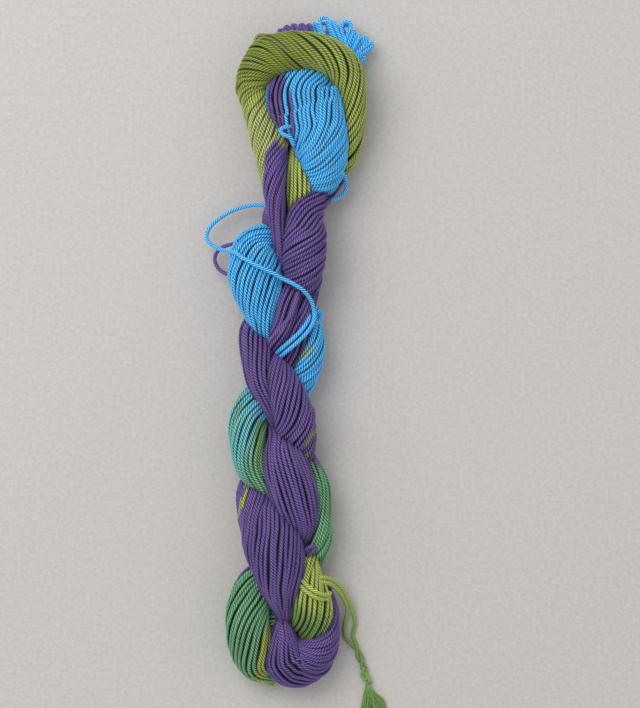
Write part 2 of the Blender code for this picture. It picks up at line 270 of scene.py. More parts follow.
@dataclass
class Yarn:
    """The thread itself: a round strand of four plies.

    Attributes:
        diameter: Across the whole strand, in metres.
        plies: How many plies are twisted together.
        pitch: The length of one whole turn of the plies, in metres.
        valley: The radius between two plies as a share of the whole.
        valley_shade_tone: How bright the dye is between two plies, a painted shade.
        ply_highlight_tone: How bright it is on a ply, a painted highlight.
        inner_shade_tone: How bright it is where a strand faces into its bundle, a painted shade.
        packed_width: How much wider a strand is where others press on it.
        facing_from: The cosine from the outward direction below which the painted shade is darkest.
        facing_over: Over how much more of the cosine it gets to its full tone.
        ring_step: The distance between two rings of the mesh, in metres.
    """

    diameter: float = 2.2 * MM
    plies: int = 4
    pitch: float = 6.1 * MM
    valley: float = 0.72
    # Painted light: painted shade between two plies, a painted highlight on each ply, and painted
    # shade where a strand faces into its bundle.
    valley_shade_tone: float = 0.06
    ply_highlight_tone: float = 2.0
    inner_shade_tone: float = 0.22
    packed_width: float = 1.06
    facing_from: float = 0.22
    facing_over: float = 0.68
    ring_step: float = 0.70 * MM

    @property
    def sides(self) -> int:
        """A ring has a corner on each ply and one between each two."""
        return 2 * self.plies

    def rings(
        self, threads: Threads, turn: np.ndarray
    ) -> tuple[np.ndarray, np.ndarray, np.ndarray]:
        """Works out the corners of every ring.

        A corner is the ring's middle, plus the radius times the cosine of its angle along the
        outward direction and the sine along the one square to it. The angle falls by one turn
        for each pitch of the strand's length, so the corners follow the plies. Odd corners are
        drawn in to the valley between two plies. A corner's tone is painted light: a painted
        highlight on a ply and a painted shade in a valley. In a bundle, the tone also falls with
        the cosine, a painted shade that makes a strand dark where it faces into the bundle.

        Args:
            threads: The strands.
            turn: The angle that each strand's plies start at.

        Returns:
            The corners, strands by rings by corners by 3, the tone of each, which is painted
            highlight and painted shade, and each strand's length at each ring.
        """
        paths = threads.paths
        run = unit(np.gradient(paths, axis=1))
        normal = threads.outward - run * np.sum(threads.outward * run, axis=2, keepdims=True)
        normal = unit(normal)
        square = np.cross(run, normal)
        steps = np.linalg.norm(np.diff(paths, axis=1), axis=2)
        length = np.concatenate((np.zeros((len(paths), 1)), np.cumsum(steps, axis=1)), axis=1)
        corner = np.arange(self.sides)
        angle = 2 * math.pi * corner / self.sides + turn[:, None, None]
        angle = angle - 2 * math.pi * length[:, :, None] / self.pitch
        reach = threads.radius[:, :, None] * np.where(corner % 2 == 0, 1.0, self.valley)
        wide = self.packed_width if threads.packed else 1.0
        spread = np.cos(angle)[..., None] * normal[:, :, None]
        spread = spread + wide * np.sin(angle)[..., None] * square[:, :, None]
        corners = paths[:, :, None] + reach[..., None] * spread
        corners[..., 2] = np.maximum(corners[..., 2], LOWEST)
        # Painted light: each corner's tone is a painted highlight on a ply or painted shade in a
        # valley, and in a bundle painted shade on the side that faces in.
        tone = np.where(corner % 2 == 0, self.ply_highlight_tone, self.valley_shade_tone) * np.ones_like(angle)
        if threads.packed:
            facing = smoothstep((np.cos(angle) - self.facing_from) / self.facing_over)
            tone = tone * (self.inner_shade_tone + (1.0 - self.inner_shade_tone) * facing)
        return corners, tone, length


YARN = Yarn()


def strip(along: np.ndarray, round_: np.ndarray, row: np.ndarray, rows: int) -> np.ndarray:
    """Finds places on the bake map, where each tube has a strip with a margin round it.

    Args:
        along: How far along the tube they are, from 0 to 1.
        round_: How far round it they are, from 0 to 1.
        row: The number of the tube's strip.
        rows: How many strips the map has.

    Returns:
        The places, with one more axis.
    """
    return np.stack((0.01 + 0.98 * along, (row + 0.08 + 0.84 * round_) / rows), axis=-1)


def strip_end(along: np.ndarray, row: np.ndarray, angle: np.ndarray, rows: int) -> np.ndarray:
    """Finds places on the bake map for the corners of a tube's cap, on a small oval in its strip.

    Args:
        along: How far along the tube the cap is, from 0 to 1.
        row: The number of the tube's strip.
        angle: The corners' angles round the cap.
        rows: How many strips the map has.

    Returns:
        The places, with one more axis.
    """
    level = 0.01 + 0.98 * along + 0.002 * np.cos(angle)
    return np.stack((level, (row + 0.5 + 0.2 * np.sin(angle)) / rows), axis=-1)


@dataclass
class Skin:
    """Collects a piece's faces, colours and maps, and makes the mesh.

    Attributes:
        corners: Arrays of points.
        colours: Arrays of linear colours, one for each point.
        loops: Arrays of point numbers, face after face.
        sizes: Arrays with the number of corners of each face.
        bake: Arrays of map places for the baked colours, one for each corner of each face.
        fibre: Arrays of map places that run with the plies, in diameters and turns.
        count: The number of points so far.
    """

    corners: list = field(default_factory=list)
    colours: list = field(default_factory=list)
    loops: list = field(default_factory=list)
    sizes: list = field(default_factory=list)
    bake: list = field(default_factory=list)
    fibre: list = field(default_factory=list)
    count: int = 0

    def points(self, corners: np.ndarray, colours: np.ndarray) -> int:
        """Adds points.

        Args:
            corners: The points, any number by 3.
            colours: Their colours.

        Returns:
            The number of the first one.
        """
        first = self.count
        self.corners.append(corners.reshape(-1, 3))
        self.colours.append(colours.reshape(-1, 3))
        self.count += self.corners[-1].shape[0]
        return first

    def faces(self, numbers: np.ndarray, bake: np.ndarray, fibre: np.ndarray) -> None:
        """Adds faces that all have the same number of corners.

        Args:
            numbers: Point numbers, faces by corners.
            bake: Their places on the map for baking, faces by corners by 2.
            fibre: Their places on the map that runs with the plies.
        """
        if len(numbers):
            self.loops.append(numbers.reshape(-1))
            self.sizes.append(np.full(len(numbers), numbers.shape[1]))
            self.bake.append(bake.reshape(-1, 2))
            self.fibre.append(fibre.reshape(-1, 2))

    def strands(
        self, threads: Threads, turn: np.ndarray, rows: int, first_row: int = 0
    ) -> None:
        """Adds strands as closed tubes, one strip of the bake map for each.

        A ring is made where its neighbour is too. Each run of rings is joined by four-sided
        faces and closed by a cap at each end. The dye is multiplied by the corner's tone of painted
        highlight and painted shade, and it is raised to a higher power where the tone is low,
        which keeps the painted shade rich.

        Args:
            threads: The strands.
            turn: The angle that each strand's plies start at.
            rows: How many strips the whole map has.
            first_row: The strip of the first strand.
        """
        keep = threads.keep.copy()
        before = np.pad(keep, ((0, 0), (1, 0)))[:, :-1]
        after = np.pad(keep, ((0, 0), (0, 1)))[:, 1:]
        keep &= before | after
        before &= keep
        after &= keep
        if not keep.any():
            return
        corners, tone, length = YARN.rings(threads, turn)
        sides, last = YARN.sides, keep.shape[1] - 1
        # The tone is painted highlight and painted shade; where shade is painted the dye gets
        # richer.
        shade_power = 1.35 - 0.35 * np.minimum(tone, 1.0)[..., None]
        colours = threads.colours[:, :, None, :] ** shade_power * tone[..., None]
        first = self.points(corners[keep], colours[keep])
        number = np.full(keep.shape, -1)
        number[keep] = first + sides * np.arange(int(keep.sum()))

        strand, ring = np.nonzero(keep[:, :-1] & keep[:, 1:])
        corner = np.arange(sides)
        following = (corner + 1) % sides
        here, there = number[strand, ring][:, None], number[strand, ring + 1][:, None]
        near, far = here + corner, there + corner
        quads = np.stack((near, here + following, there + following, far), axis=2)
        along = np.stack((ring, ring, ring + 1, ring + 1), axis=1)[:, None, :] + 0 * quads
        round_ = np.stack((corner, corner + 1, corner + 1, corner), axis=1)[None] + 0 * quads
        which = strand[:, None, None] + 0 * quads
        row = which + first_row
        run = length[which, along] / YARN.diameter
        fibre = np.stack((run, round_ / sides + 0.37 * row), axis=3)
        bake = strip(along / last, round_ / sides, row, rows)
        self.faces(quads.reshape(-1, 4), bake.reshape(-1, 4, 2), fibre.reshape(-1, 4, 2))

        for ends, order in ((keep & ~before, corner[::-1]), (keep & ~after, corner)):
            strand, ring = np.nonzero(ends)
            caps = number[strand, ring][:, None] + order
            angle = 2 * math.pi * order / sides
            bake = strip_end(ring[:, None] / last, strand[:, None] + first_row, angle, rows)
            run = (length[strand, ring] / YARN.diameter)[:, None] + 0.3 * np.cos(angle)
            self.faces(caps, bake, np.stack((run, 0.3 * np.sin(angle) + 0 * caps), axis=2))

    def sleeve(self, corners: np.ndarray, colours: np.ndarray, rows: int, row: int) -> None:
        """Adds a closed tube from a grid of points, on one strip of the bake map.

        Args:
            corners: Rings by corners by 3.
            colours: Rings by corners by 3.
            rows: How many strips the whole map has.
            row: The tube's strip.
        """
        rings, sides = corners.shape[:2]
        first = self.points(corners, colours)
        ring, corner = np.meshgrid(np.arange(rings - 1), np.arange(sides), indexing="ij")
        ring, corner = ring.ravel()[:, None], corner.ravel()[:, None]
        along = ring + np.array((0, 0, 1, 1))
        round_ = corner + np.array((0, 1, 1, 0))
        quads = first + along * sides + round_ % sides
        bake = strip(along / (rings - 1), round_ / sides, row, rows)
        self.faces(quads, bake, np.stack((along, round_), axis=2))
        for end, order in ((0, np.arange(sides)[::-1]), (1, np.arange(sides))):
            bake = strip_end(end, row, 2 * math.pi * order / sides, rows)[None]
            self.faces((first + end * (rings - 1) * sides + order)[None], bake, bake)

    def piece(self, name: str, slot: str, node: str) -> bpy.types.Object:
        """Makes the mesh and its object, riding on the hank's one body.

        Args:
            name: The piece's name.
            slot: The record's material slot for it. It is not used.
            node: The solid that it stands for.

        Returns:
            The new object.
        """
        mesh = bpy.data.meshes.new(name)
        corners, colours = np.concatenate(self.corners), np.concatenate(self.colours)
        loops, sizes = np.concatenate(self.loops), np.concatenate(self.sizes)
        starts = np.concatenate(([0], np.cumsum(sizes)[:-1]))
        mesh.vertices.add(len(corners))
        mesh.vertices.foreach_set("co", corners.astype(np.float32).ravel())
        mesh.loops.add(len(loops))
        mesh.loops.foreach_set("vertex_index", loops.astype(np.int32))
        mesh.polygons.add(len(sizes))
        mesh.polygons.foreach_set("loop_start", starts.astype(np.int32))
        mesh.polygons.foreach_set("loop_total", sizes.astype(np.int32))
        mesh.update(calc_edges=True)
        mesh.polygons.foreach_set("use_smooth", np.ones(len(sizes), dtype=bool))
        dye = mesh.attributes.new("dye", "FLOAT_COLOR", "POINT")
        opaque = np.column_stack((colours, np.ones(len(colours))))
        dye.data.foreach_set("color", opaque.astype(np.float32).ravel())
        for map_name, places in (("OFBake", self.bake), ("fibre", self.fibre)):
            layer = mesh.uv_layers.new(name=map_name)
            layer.data.foreach_set("uv", np.concatenate(places).astype(np.float32).ravel())
        mesh.materials.append(FINISH.material())
        mesh.validate()
        made = bpy.data.objects.new(name, mesh)
        bpy.context.scene.collection.objects.link(made)
        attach(made, "root")
        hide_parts(node)
        LOG.info("%s: %d triangles", name, int((sizes - 2).sum()))
        return made


def add_node(tree: bpy.types.NodeTree, kind: str, values: dict[str, object]) -> bpy.types.Node:
    """Adds a shader node of this kind and sets the values of its inputs."""
    node = tree.nodes.new("ShaderNode" + kind)
    for name, value in values.items():
        node.inputs[name].default_value = value
    return node


def grained(
    name: str, looks: dict[str, float], noise: dict[str, float], tones: dict[str, float],
    bump: dict[str, float],
) -> tuple[bpy.types.Material, bpy.types.Node, bpy.types.Node]:
    """Makes a material with a grain: its colour times the tone of a noise, which also raises it.

    Args:
        name: The material's name.
        looks: The shader's own values.
        noise: The values of the noise.
        tones: The range that makes a tone of the noise.
        bump: How strong and how high the relief is.

    Returns:
        The material, its noise and the node that takes its colour.
    """
    made = bpy.data.materials.new(name)
    made.use_nodes = True
    tree = made.node_tree
    shader = tree.nodes["Principled BSDF"]
    for socket, value in looks.items():
        shader.inputs[socket].default_value = value
    grain, tone = add_node(tree, "TexNoise", noise), add_node(tree, "MapRange", tones)
    tint, relief = add_node(tree, "Mix", {}), add_node(tree, "Bump", bump)
    tint.data_type = "RGBA"
    tint.blend_type = "MULTIPLY"
    tint.inputs["Factor"].default_value = 1.0
    tree.links.new(grain.outputs["Fac"], tone.inputs["Value"])
    tree.links.new(tone.outputs["Result"], tint.inputs["B"])
    tree.links.new(tint.outputs["Result"], shader.inputs["Base Color"])
    tree.links.new(grain.outputs["Fac"], relief.inputs["Height"])
    tree.links.new(relief.outputs["Normal"], shader.inputs["Normal"])
    return made, grain, tint


@dataclass(frozen=True)
class YarnFinish:
    """The look of the yarn: a soft, slightly glossy fibre that takes its dye from the strands.

    Attributes:
        name: The material's name.
        roughness: How matt the fibres are.
        sheen: How much light the fine fibres catch at the edges.
        fibres: How many fine fibres lie round a strand.
        contrast: How much the fibres' tone varies.
        relief: The height of the fibres, in metres.
    """

    name: str
    roughness: float = 0.58
    sheen: float = 0.06
    fibres: float = 22.0
    contrast: float = 0.30
    relief: float = 0.05 * MM

    @functools.cache
    def material(self) -> bpy.types.Material:
        """Builds the material once: the dye attribute, with a grain stretched along the plies.

        Returns:
            The material.
        """
        looks = {
            "Roughness": self.roughness, "Specular IOR Level": 0.22,
            "Sheen Weight": self.sheen, "Sheen Roughness": 0.45,
        }
        tones = {"To Min": 1.0 - self.contrast, "To Max": 1.0 + self.contrast}
        bump = {"Strength": 0.6, "Distance": self.relief}
        made, grain, tint = grained(self.name, looks, {"Scale": 1.0, "Detail": 3.0}, tones, bump)
        tree = made.node_tree
        dye = add_node(tree, "Attribute", {})
        dye.attribute_name = "dye"
        run = add_node(tree, "UVMap", {})
        run.uv_map = "fibre"
        stretch = add_node(tree, "Mapping", {"Scale": (0.9, self.fibres, 1.0)})
        tree.links.new(run.outputs["UV"], stretch.inputs["Vector"])
        tree.links.new(stretch.outputs["Vector"], grain.inputs["Vector"])
        tree.links.new(dye.outputs["Color"], tint.inputs["A"])
        return made


FINISH = YarnFinish("dyed_yarn")


@dataclass
class Hull:
    """The oval tube that a bundle's strands lie on, read at even steps.

    Attributes:
        rows_at: Where each section is, in rows of the table.
        middle: The sections' middles, in metres.
        run: The direction of the bundle.
        side: The direction square to it and level.
        top: The direction square to both.
        half_width: Half the section's width along side, in metres.
        half_height: Half its height along top, in metres.
        lean: The strands' lean, in radians.
        past_end: How far past its last section the tube still counts, in metres.
    """

    rows_at: np.ndarray
    middle: np.ndarray
    run: np.ndarray
    side: np.ndarray
    top: np.ndarray
    half_width: np.ndarray
    half_height: np.ndarray
    lean: np.ndarray
    past_end: float = 2.5 * MM

    def depth(self, points: np.ndarray) -> np.ndarray:
        """Finds how deep points are inside the tube.

        The nearest section is found for each point. There the depth is one less the point's
        distance as a share of the oval's half sizes, times the smaller half size.

        Args:
            points: The points, any number by 3.

        Returns:
            The depths in metres, negative outside.
        """
        depths = np.full(len(points), -1.0)
        reach = max(self.half_width.max(), self.half_height.max())
        low, high = self.middle.min(axis=0) - reach, self.middle.max(axis=0) + reach
        near = np.nonzero(np.all((points > low) & (points < high), axis=1))[0]
        if not len(near):
            return depths
        some = points[near]
        nearest = ((some[:, None] - self.middle[None]) ** 2).sum(axis=2).argmin(axis=1)
        offset = some - self.middle[nearest]
        width, height = self.half_width[nearest], self.half_height[nearest]
        share = np.hypot(
            (offset * self.side[nearest]).sum(axis=1) / width,
            (offset * self.top[nearest]).sum(axis=1) / height,
        )
        beyond = np.abs((offset * self.run[nearest]).sum(axis=1)) > self.past_end
        depths[near] = np.where(beyond, -1.0, (1.0 - share) * np.minimum(width, height))
        return depths


@dataclass
class Bundle:
    """A bundle of strands, named for where it shows.

    Attributes:
        name: The bundle's name.
        rows: Its sections.
        dye: The dye at its start.
        changes: Where the dye changes along it.
        patches: Areas with another dye.
        slot: The record's material slot.
        step_share: How much coarser than the yarn's own the rings are.
    """

    name: str
    rows: tuple[Row, ...]
    dye: Dye
    changes: tuple[DyeChange, ...] = ()
    patches: tuple[DyePatch, ...] = ()
    slot: str = "purple_yarn"
    step_share: float = 1.0

    def table(self) -> np.ndarray:
        """The rows as an array in the model's frame, with a small row added at each end."""
        rows = np.array(self.rows, dtype=float)
        rows[:, :3] += SHIFT - (0.0, 0.0, PRESSED)
        ends = []
        for end, inner in ((rows[0], rows[1]), (rows[-1], rows[-2])):
            tip = end.copy()
            tip[:3] += unit(end[:3] - inner[:3]) * 0.7 * end[4]
            tip[3:5] *= 0.35
            ends.append(tip)
        return np.vstack((ends[0], rows, ends[1]))

    def hull(self, step: float, follow_strands: bool) -> Hull:
        """Reads the tube at even steps.

        The side of a section is the cross product of the run and the upright, and its top is the
        cross product of the side and the run.

        Args:
            step: The distance between two sections, in metres.
            follow_strands: Whether the step is measured along the leaning strands.

        Returns:
            The tube.
        """
        table = self.table()
        stretch = None
        if follow_strands:
            leans = np.radians(through(table, fine_places(table))[:, 5])
            stretch = 1.0 / np.cos(leans)
        where = even_steps(table, step / MM, stretch)
        values = through(table, where)
        middle = values[:, :3] * MM
        run = unit(np.gradient(middle, axis=0))
        side = unit(np.cross(run, UP))
        top = np.cross(side, run)
        sizes = np.maximum(values[:, 3:5], 0.5) * MM
        leans = np.radians(values[:, 5])
        return Hull(where - 1, middle, run, side, top, sizes[:, 0], sizes[:, 1], leans)

    def colours(
        self, hull: Hull, points: np.ndarray, across_share: np.ndarray, luck: np.ndarray
    ) -> np.ndarray:
        """Dyes the strands.

        Each change blends in a dye from its row on, and each patch blends one in where the
        distance from its middle, as a share of its half sizes, is below one.

        Args:
            hull: The bundle's tube.
            points: The rings' middles, strands by rings by 3.
            across_share: Where they are across the bundle, from -1 at its left to 1 at its right.
            luck: Four random numbers from 0 to 1 for each strand.

        Returns:
            Linear colours, strands by rings by 3.
        """
        count, rings = points.shape[:2]
        colours = np.broadcast_to(self.dye.colour, (count, rings, 3)).copy()
        own = OWN_ROWS * (luck[:, :1] - 0.5)
        for change in self.changes:
            row = change.row + change.slant * across_share - change.bend * across_share**2 + own
            blend = smoothstep((hull.rows_at[None] - row) / change.spread + 0.5)[..., None]
            colours += blend * (change.dye.colour - colours)
        places = points[..., :2] / MM - SHIFT[:2]
        for patch in self.patches:
            turn = math.radians(patch.turn)
            x, y = places[..., 0] - patch.across, places[..., 1] - patch.along
            u = (x * math.cos(turn) + y * math.sin(turn)) / patch.half_across
            v = (y * math.cos(turn) - x * math.sin(turn)) / patch.half_along
            edge = 1.0 + PATCH_EDGE / 2 + 0.25 * own
            blend = smoothstep((edge - np.hypot(u, v)) / PATCH_EDGE)
            blend = (blend * (luck[:, 1:2] < patch.share))[..., None]
            colours += blend * (patch.dye.colour - colours)
        waves = np.sin(hull.rows_at[None] * 1.9 + 6.3 * luck[:, 2:3])
        waves = waves + np.sin(hull.rows_at[None] * 4.3 + 6.3 * luck[:, 3:4])
        tone = 1.0 + STRAND_TONE * (luck[:, 3:4] - 0.5) + WAVE_TONE * waves
        return colours * tone[..., None]

    def threads(self, chance: np.random.Generator) -> tuple[Hull, Threads]:
        """Lays the strands on the tube.

        As many strands are laid as fit round nearly the thickest section. A strand's angle falls
        along the bundle by the tangent of the lean over the mean radius, so that it winds like a
        right-handed screw. Where the tube is too thin for all of its strands, those of high rank
        sink below their neighbours, need less room and end. The room each strand needs, as a
        share of the whole turn, sets the angle between it and the next. The angle on the oval is
        that angle plus half the flatness times its double sine, which spaces the strands evenly.

        Args:
            chance: The source of random numbers.

        Returns:
            The tube and the strands on it.
        """
        hull = self.hull(YARN.ring_step * self.step_share, follow_strands=True)
        radius = YARN.diameter / 2
        mean = np.maximum((hull.half_width + hull.half_height) / 2 - radius, 0.6 * MM)
        steps = np.linalg.norm(np.diff(hull.middle, axis=0), axis=1)
        slope = np.tan(hull.lean) / mean
        winding = -np.concatenate(([0.0], np.cumsum(steps * (slope[1:] + slope[:-1]) / 2)))
        room = 2 * math.pi * mean * np.cos(hull.lean)
        shown = slice(int(0.15 * len(room)), int(0.85 * len(room)))
        pitch = YARN.packed_width * YARN.diameter
        count = max(int(round(np.percentile(room[shown], FULL_AT) / pitch)), 5)

        luck = chance.random((count, 8))
        travel = np.concatenate(([0.0], np.cumsum(steps))) / MM
        wander = np.sin(travel / (5 + 4 * luck[:, 4:5]) + 6.3 * luck[:, 5:6])
        fitting = np.clip(room / (count * PRESSING * pitch), 0.0, 1.0)
        rank = spread_order(count)[:, None]
        sunk = smoothstep((rank - fitting) / SINK_OVER)
        need = 1.03 - sunk
        total = need.sum(axis=0)
        share = (np.cumsum(need, axis=0) - need / 2) / total
        loose = UNEVEN * (luck[:, 6:7] - 0.5) + WANDER * wander
        angle = 2 * math.pi * (share + loose / total) + winding
        flatness = (hull.half_width - hull.half_height) / (hull.half_width + hull.half_height)
        angle = angle + flatness / 2 * np.sin(2 * angle)
        ride = RISE * np.sin(travel / (6 + 3 * luck[:, 5:6]) + 6.3 * luck[:, 4:5]) - 0.08
        depth = radius + YARN.diameter * (SUNK_DEPTH * sunk - ride * (1 - sunk))
        width = np.maximum(hull.half_width - depth, 0.25 * MM)
        height = np.maximum(hull.half_height - depth, 0.25 * MM)
        level, upright = np.cos(angle)[..., None], np.sin(angle)[..., None]
        paths = hull.middle + width[..., None] * level * hull.side
        paths = paths + height[..., None] * upright * hull.top
        paths[..., 2] = np.maximum(paths[..., 2], 0.96 * radius)
        outward = level * hull.side / hull.half_width[:, None]
        outward = unit(outward + upright * hull.top / hull.half_height[:, None])
        across_share = np.cos(angle) * np.sign(hull.side[:, 0])
        colours = self.colours(hull, paths, across_share, luck)
        keep = (rank - fitting) < 0.5
        size = np.full(keep.shape, radius)
        return hull, Threads(paths, outward, colours, keep, size, packed=True)


